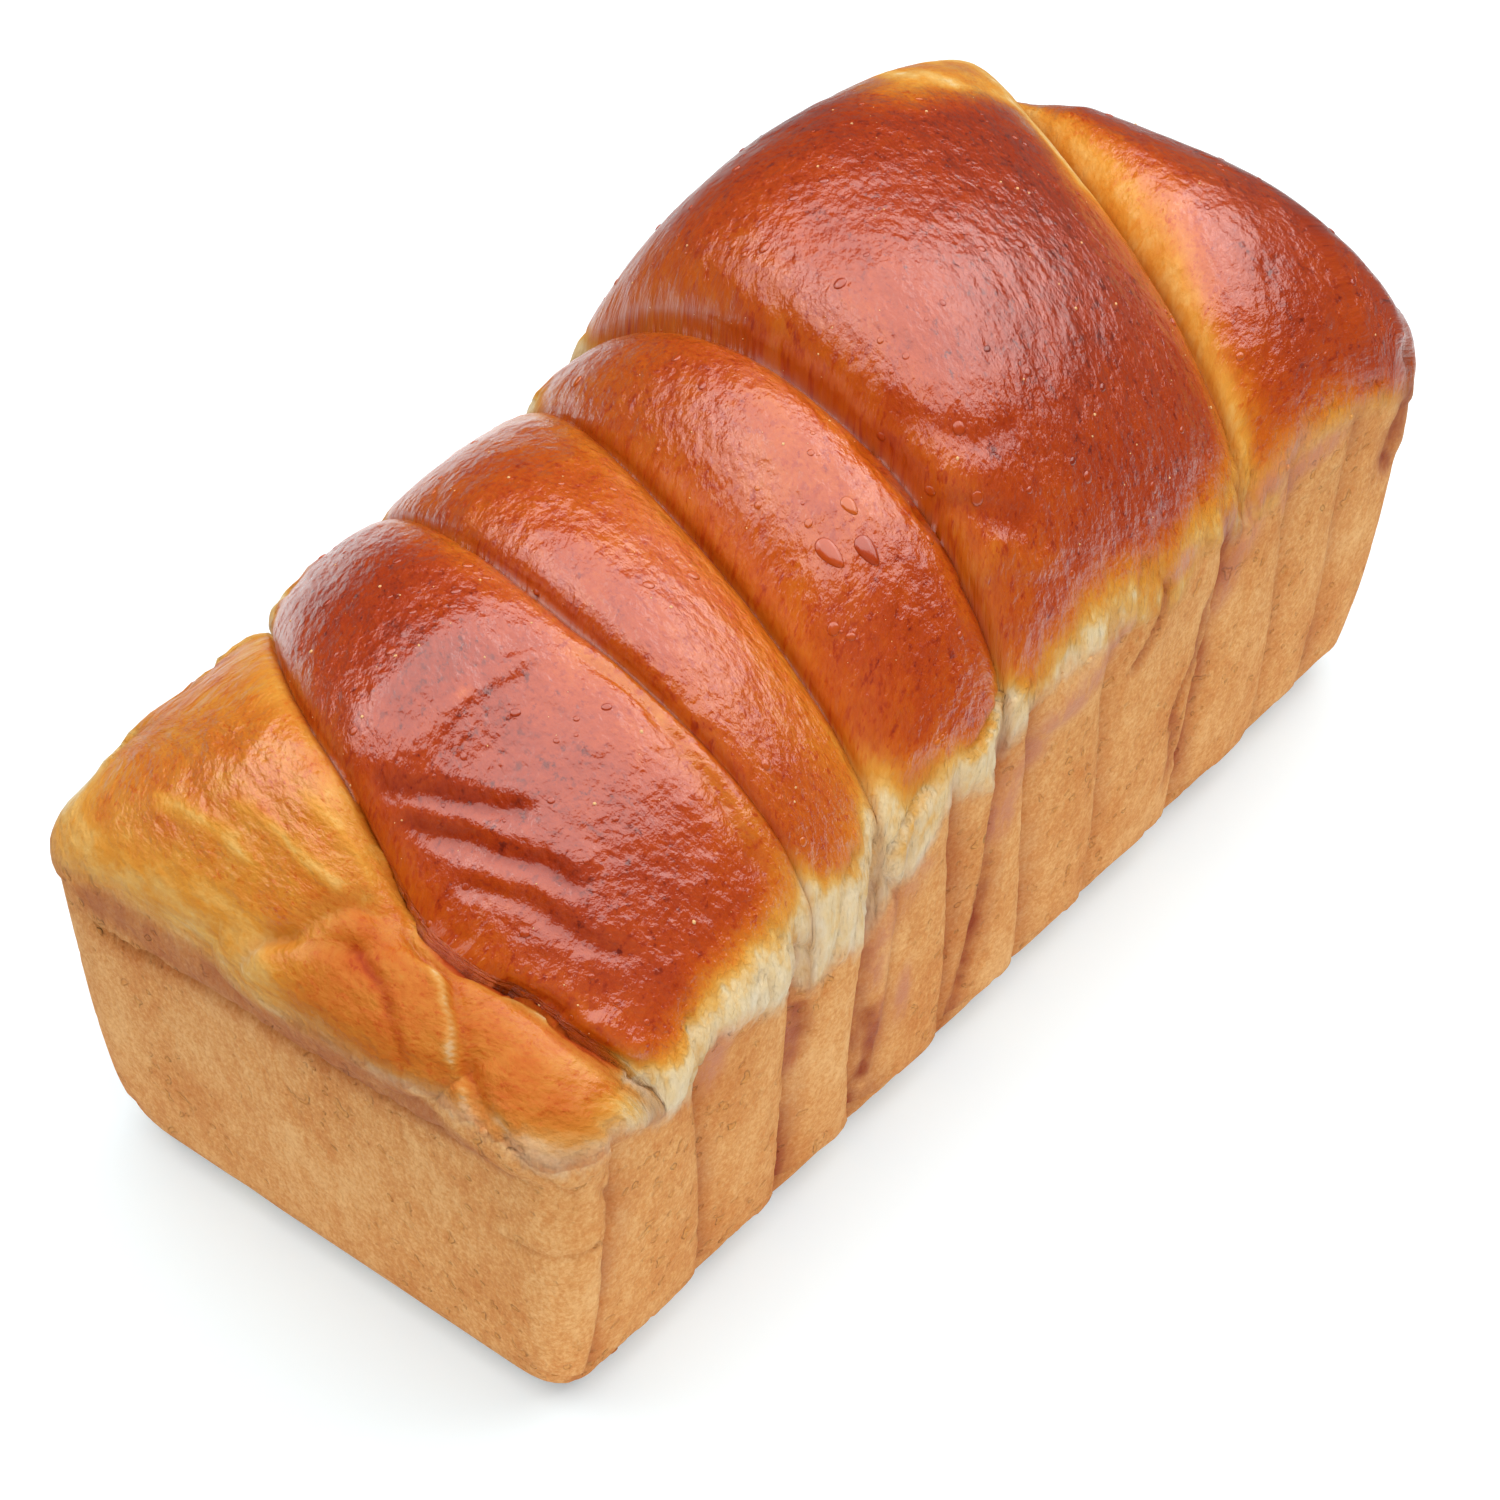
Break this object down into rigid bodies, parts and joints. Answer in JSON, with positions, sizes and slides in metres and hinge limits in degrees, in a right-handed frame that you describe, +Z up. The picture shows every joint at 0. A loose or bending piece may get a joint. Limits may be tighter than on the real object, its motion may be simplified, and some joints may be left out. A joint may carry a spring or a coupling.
{
  "type": "brioche loaf",
  "caption": "Uncut brioche loaf baked in a tapered loaf tin: glossy browned crown of slanting dough strands over tan, ribbed tin walls with a pale break line.",
  "frame": {"origin": "middle of the loaf's box, on its flat base", "axes": "+X along the loaf, from the end with the tucked dough to the end under the widest strand; +Y across it; +Z up"},
  "size_m": [0.2604, 0.121, 0.1433],
  "materials": {
    "crust": "baked bread crust: egg-washed and glossy on the crown, dry and matt on the tin walls"
  },
  "bodies": {
    "root": {"brioche_loaf": "crust"}
  },
  "joints": []
}
